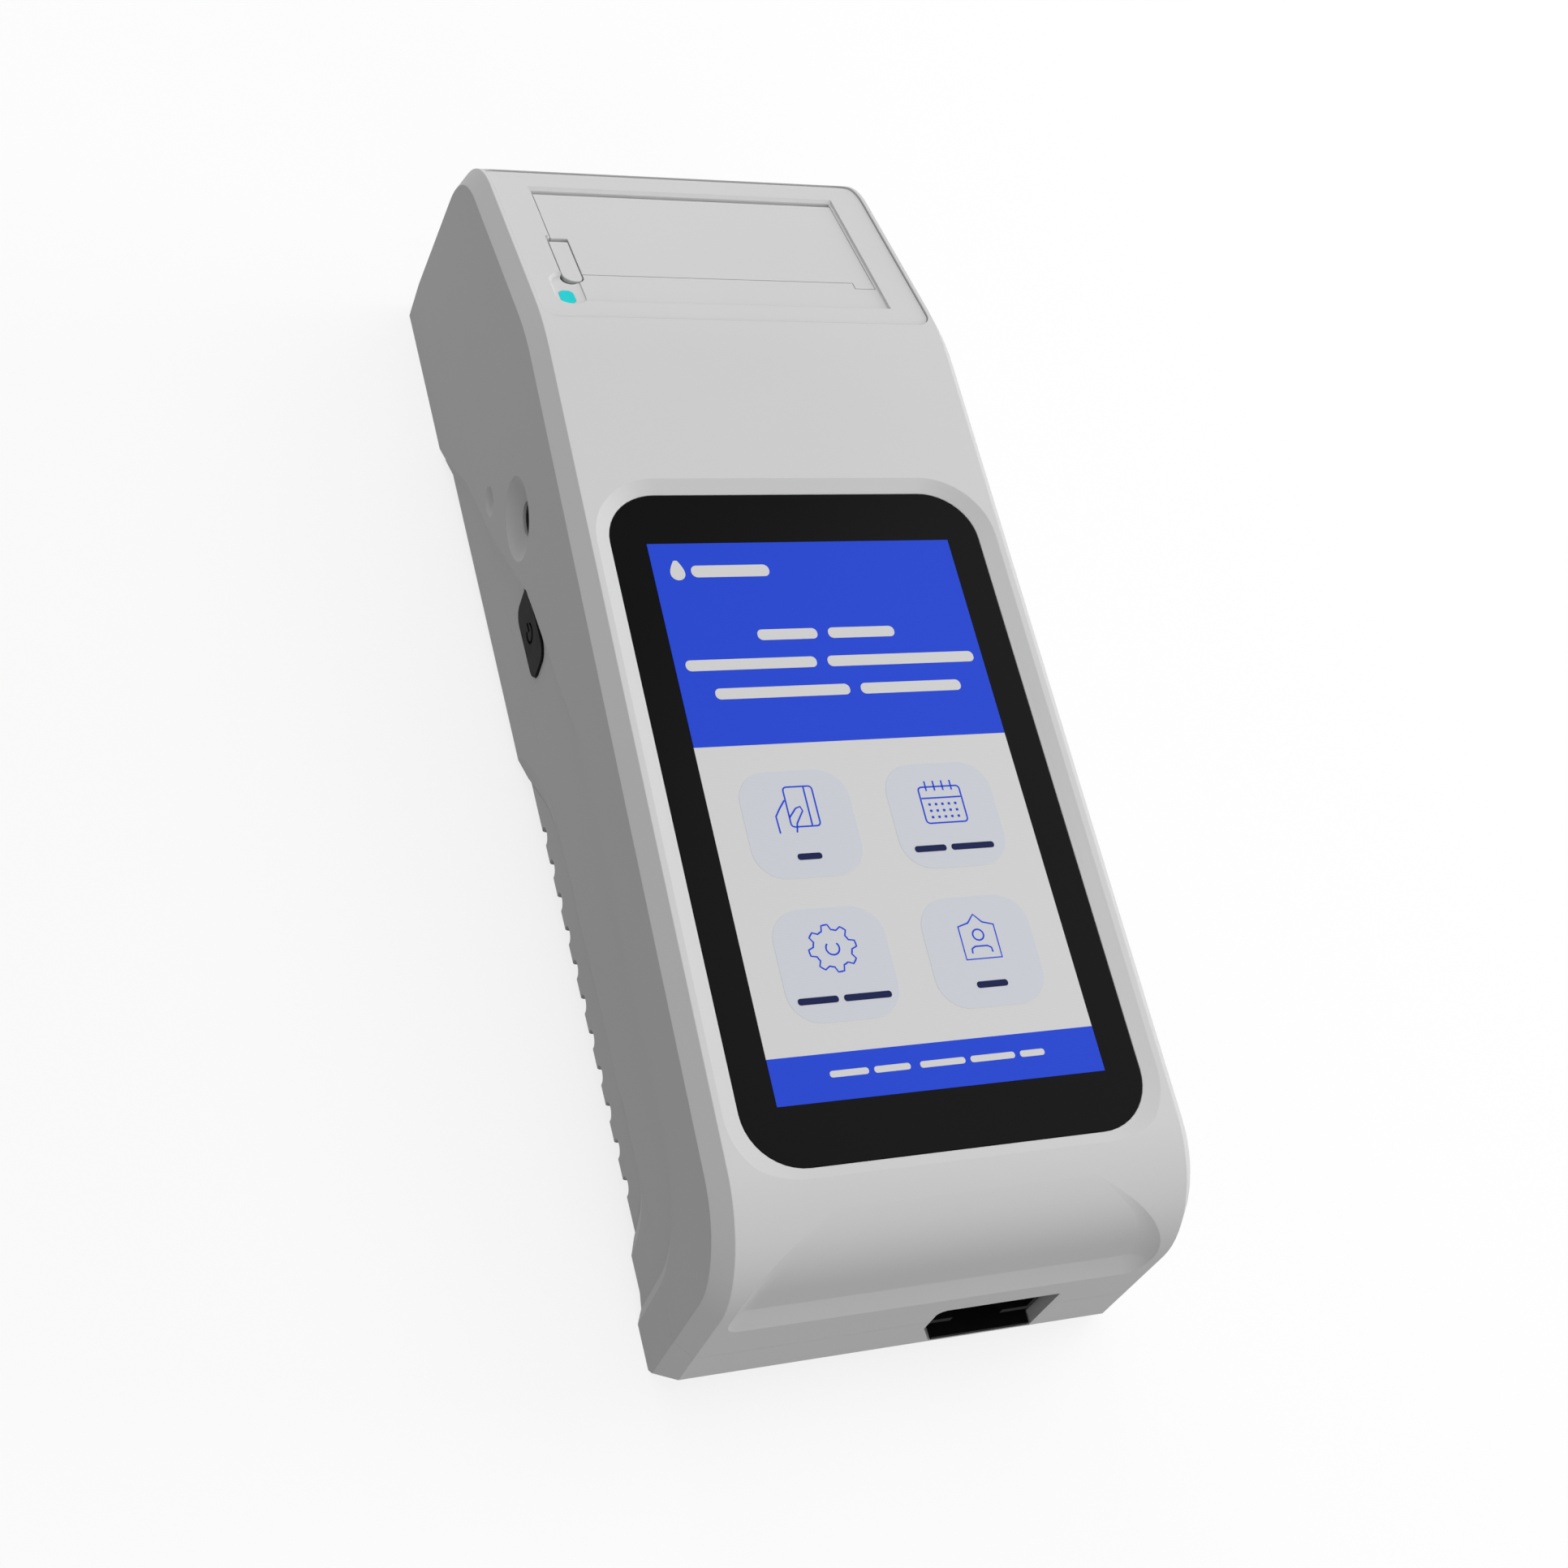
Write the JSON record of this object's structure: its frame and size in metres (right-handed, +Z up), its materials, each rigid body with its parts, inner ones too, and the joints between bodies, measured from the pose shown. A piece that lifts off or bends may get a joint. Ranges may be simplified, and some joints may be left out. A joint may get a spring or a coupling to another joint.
{
  "type": "immunoassay analyzer",
  "caption": "Handheld immunoassay analyzer with a touch screen, built-in slip printer under a hinged door, cassette slot with sliding tray in the foot, power key and ribbed back cover",
  "frame": {"origin": "middle of the flat back that it lies on", "axes": "+Y runs along it from the cassette foot to the printer head, +Z up out of the screen side, X across"},
  "size_m": [0.0902, 0.262, 0.0707],
  "materials": {
    "shell": "pale warm grey moulded plastic, fine satin texture",
    "black_plastic": "black moulded plastic",
    "black_glass": "black-printed cover glass, polished",
    "display": "lit display",
    "foam": "black foam tape",
    "rubber": "dark grey rubber",
    "steel": "plain steel",
    "contact_metal": "plated contact metal",
    "cell_wrap": "blue shrink wrap",
    "circuit_board": "green solder mask",
    "gear_plastic": "natural moulded gear plastic",
    "head_ceramic": "glazed heating bar",
    "paper": "white thermal paper",
    "core_board": "brown card tube",
    "lens_glass": "clear polished lens",
    "cyan_light": "lit cyan light guide"
  },
  "bodies": {
    "casing": {"upper_shell": "shell", "lower_shell": "shell", "shell_screws": "steel", "battery_cells": "cell_wrap", "battery_contacts": "contact_metal", "touch_glass": "black_glass", "display_gasket": "foam", "display_module": "display", "display_carrier": "steel", "main_board": "circuit_board", "board_shield": "steel", "buzzer": "black_plastic", "board_screws": "steel", "printer_bezel": "shell", "printer_screws": "steel", "door_hinge_pin": "steel", "lever_pin": "steel", "status_light": "cyan_light", "tear_bar": "steel", "feed_motor": "steel", "printer_frame": "black_plastic", "print_head": "head_ceramic", "slot_liner": "black_plastic", "tray_motor": "steel", "optical_head": "black_plastic", "optical_lens": "lens_glass", "optics_board": "circuit_board", "power_switch": "black_plastic", "side_board": "circuit_board", "charge_socket": "black_plastic", "charge_pin": "contact_metal"},
    "door": {"printer_door": "shell"},
    "platen": {"platen_roller": "rubber", "platen_shaft": "steel", "platen_gear": "gear_plastic"},
    "idler": {"idler_gear": "gear_plastic"},
    "feed_pinion": {"motor_pinion": "gear_plastic"},
    "paper": {"paper_roll": "paper", "paper_core": "core_board"},
    "lever": {"release_lever": "shell"},
    "power_key": {"power_button": "rubber"},
    "back_cover": {"battery_cover": "shell", "cover_screw": "steel"},
    "tray": {"cassette_tray": "black_plastic"},
    "tray_drive": {"tray_pinion": "gear_plastic"}
  },
  "joints": [
    {"name": "door_hinge", "type": "hinge", "parent": "casing", "child": "door", "pos_m": [0, 0.10197, 0.05999], "axis": [-1, 0, 0], "range_deg": [0, 88]},
    {"name": "platen_spin", "type": "hinge", "parent": "door", "child": "platen", "pos_m": [0, 0.07718, 0.05932], "axis": [1, 0, 0], "continuous": true},
    {"name": "idler_spin", "type": "hinge", "parent": "casing", "child": "idler", "pos_m": [0, 0.07718, 0.04957], "axis": [1, 0, 0], "continuous": true},
    {"name": "feed_pinion_spin", "type": "hinge", "parent": "casing", "child": "feed_pinion", "pos_m": [0, 0.06878, 0.04634], "axis": [1, 0, 0], "continuous": true},
    {"name": "paper_spin", "type": "hinge", "parent": "casing", "child": "paper", "pos_m": [0, 0.09533, 0.03948], "axis": [1, 0, 0], "continuous": true},
    {"name": "lever_tilt", "type": "hinge", "parent": "casing", "child": "lever", "pos_m": [-0.03215, 0.08504, 0.06359], "axis": [-1, 0, 0], "range_deg": [0, 18], "stiffness_Nm_per_rad": 0.01},
    {"name": "power_key_press", "type": "slide", "parent": "casing", "child": "power_key", "axis": [1, 0, 0], "range_m": [0, 0.0005], "stiffness_N_per_m": 800},
    {"name": "back_cover_swing", "type": "hinge", "parent": "casing", "child": "back_cover", "pos_m": [0, -0.0038, 0.0037], "axis": [1, 0, 0], "range_deg": [0, 60]},
    {"name": "tray_slide", "type": "slide", "parent": "casing", "child": "tray", "axis": [0, -1, 0], "range_m": [0, 0.045]},
    {"name": "tray_drive_spin", "type": "hinge", "parent": "casing", "child": "tray_drive", "pos_m": [0.03097, -0.1, 0.0116], "axis": [0, 0, 1], "range_deg": [0, 464]}
  ],
  "couplings": [
    {"joint": "idler_spin", "follows": "platen_spin", "ratio": -0.625},
    {"joint": "feed_pinion_spin", "follows": "platen_spin", "ratio": 1.25},
    {"joint": "tray_drive_spin", "follows": "tray_slide", "rad_per_m": 179.52}
  ]
}
